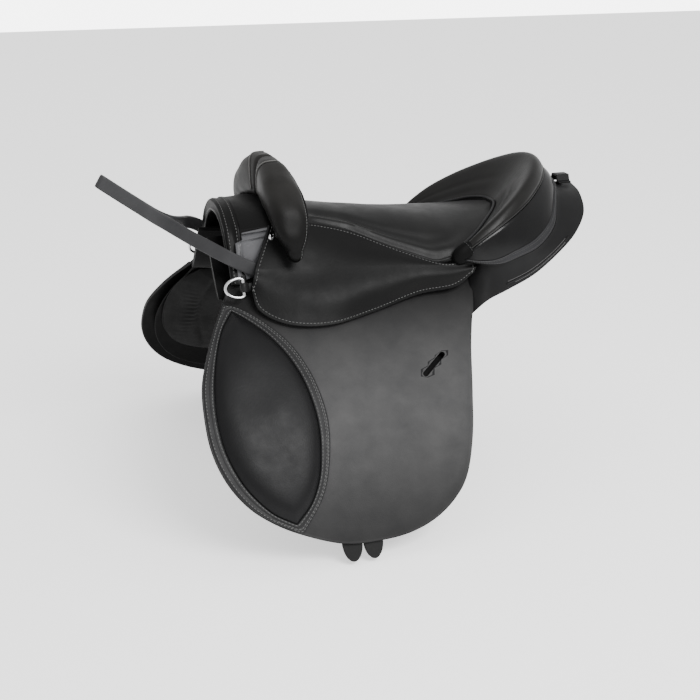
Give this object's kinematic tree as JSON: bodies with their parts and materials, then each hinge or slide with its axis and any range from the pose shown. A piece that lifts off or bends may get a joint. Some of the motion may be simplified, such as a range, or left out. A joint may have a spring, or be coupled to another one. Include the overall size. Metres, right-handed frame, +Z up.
{
  "type": "pony saddle",
  "caption": "Small black leather riding saddle for a pony, with a deep seat, high cantle roll, padded pommel blocks, a stiff holding strap, knee pads and girth straps.",
  "frame": {"origin": "on the middle plane, at the height of the horse's back under the gullet, midway along the saddle near the bend of the seat", "axes": "+X towards the rear of the saddle, along its length; -Y the near (left) side; +Z up from the horse's back"},
  "size_m": [0.6208, 0.5732, 0.4051],
  "materials": {
    "smooth_leather": "smooth black bridle leather, satin",
    "flap_leather": "smooth black flap leather, satin, a little worn",
    "pad_leather": "soft black covering leather over stuffing",
    "wall_leather": "polished black leather on the side of the cantle",
    "strap_leather": "black strap leather, edges finished",
    "panel_leather": "matt black lining leather",
    "foam": "dense open foam, sewn in",
    "webbing": "woven flax webbing",
    "tree_board": "laminated beech, oiled",
    "steel": "forged steel, brushed",
    "chrome": "polished chrome plate"
  },
  "bodies": {
    "saddle": {"cantle_band": "smooth_leather", "cantle_board": "tree_board", "cantle_roll": "pad_leather", "cantle_wall": "wall_leather", "flap_top_left": "flap_leather", "flap_top_right": "flap_leather", "girth_webbing_left": "webbing", "girth_webbing_right": "webbing", "gullet_lining": "panel_leather", "head_plate": "steel", "lower_panel_left": "panel_leather", "lower_panel_right": "panel_leather", "panel_left": "panel_leather", "panel_right": "panel_leather", "pommel_block_left": "pad_leather", "pommel_block_right": "pad_leather", "pommel_cover": "smooth_leather", "pommel_facing": "smooth_leather", "pommel_side_left": "pad_leather", "pommel_side_right": "pad_leather", "rear_loop": "strap_leather", "rear_skirt_left": "smooth_leather", "rear_skirt_right": "smooth_leather", "ring_chape_left": "strap_leather", "ring_chape_right": "strap_leather", "saddle_nail_left": "chrome", "saddle_nail_right": "chrome", "seat_cover": "smooth_leather", "seat_foam": "foam", "seat_webbing": "webbing", "seat_welt": "smooth_leather", "skirt_top_left": "smooth_leather", "skirt_top_right": "smooth_leather", "stirrup_bar_left": "steel", "stirrup_bar_right": "steel", "strap_screw_left": "steel", "strap_screw_right": "steel", "sweat_flap_left": "panel_leather", "sweat_flap_right": "panel_leather", "tree": "tree_board", "tree_head": "tree_board"},
    "flap_left": {"flap_left": "flap_leather", "knee_pad_left": "pad_leather", "knee_border_left": "smooth_leather"},
    "skirt_left": {"skirt_left": "smooth_leather"},
    "d_ring_left": {"d_ring_left": "chrome"},
    "bar_catch_left": {"bar_catch_left": "steel"},
    "girth_straps_left": {"girth_strap_front_left": "strap_leather", "girth_strap_rear_left": "strap_leather"},
    "flap_right": {"flap_right": "flap_leather", "knee_pad_right": "pad_leather", "knee_border_right": "smooth_leather"},
    "skirt_right": {"skirt_right": "smooth_leather"},
    "d_ring_right": {"d_ring_right": "chrome"},
    "bar_catch_right": {"bar_catch_right": "steel"},
    "girth_straps_right": {"girth_strap_front_right": "strap_leather", "girth_strap_rear_right": "strap_leather"},
    "holding_strap": {"holding_strap": "strap_leather"}
  },
  "joints": [
    {"name": "flap_lift_left", "type": "hinge", "parent": "saddle", "child": "flap_left", "pos_m": [-0.0115, -0.09925, 0.041], "axis": [-0.9962, 0.0643, 0.0588], "range_deg": [0, 27]},
    {"name": "skirt_lift_left", "type": "hinge", "parent": "flap_left", "child": "skirt_left", "pos_m": [-0.0115, -0.09925, 0.041], "axis": [-0.9962, 0.0643, 0.0588], "range_deg": [0, 26]},
    {"name": "ring_swing_left", "type": "hinge", "parent": "saddle", "child": "d_ring_left", "pos_m": [-0.1635, -0.0985, 0.02975], "axis": [0, 0.2688, 0.9632], "range_deg": [0, 100]},
    {"name": "catch_turn_left", "type": "hinge", "parent": "saddle", "child": "bar_catch_left", "pos_m": [-0.0156, -0.08298, 0.03948], "axis": [0, -0.7598, 0.6501], "range_deg": [0, 80]},
    {"name": "girth_strap_swing_left", "type": "hinge", "parent": "saddle", "child": "girth_straps_left", "pos_m": [-0.08025, -0.08783, 0.00779], "axis": [0, -0.7009, 0.7133], "range_deg": [-3, 3]},
    {"name": "flap_lift_right", "type": "hinge", "parent": "saddle", "child": "flap_right", "pos_m": [-0.0115, 0.09925, 0.041], "axis": [0.9962, 0.0643, -0.0588], "range_deg": [0, 27]},
    {"name": "skirt_lift_right", "type": "hinge", "parent": "flap_right", "child": "skirt_right", "pos_m": [-0.0115, 0.09925, 0.041], "axis": [0.9962, 0.0643, -0.0588], "range_deg": [0, 26]},
    {"name": "ring_swing_right", "type": "hinge", "parent": "saddle", "child": "d_ring_right", "pos_m": [-0.1635, 0.0985, 0.02975], "axis": [0, 0.2688, -0.9632], "range_deg": [0, 100]},
    {"name": "catch_turn_right", "type": "hinge", "parent": "saddle", "child": "bar_catch_right", "pos_m": [-0.0156, 0.08298, 0.03948], "axis": [0, -0.7598, -0.6501], "range_deg": [0, 80]},
    {"name": "girth_strap_swing_right", "type": "hinge", "parent": "saddle", "child": "girth_straps_right", "pos_m": [-0.08025, 0.08783, 0.00779], "axis": [0, 0.7009, 0.7133], "range_deg": [-3, 3]},
    {"name": "holding_strap_tip", "type": "hinge", "parent": "saddle", "child": "holding_strap", "pos_m": [-0.135, 0, 0.0405], "axis": [0, 1, 0], "range_deg": [-9, 18]}
  ]
}
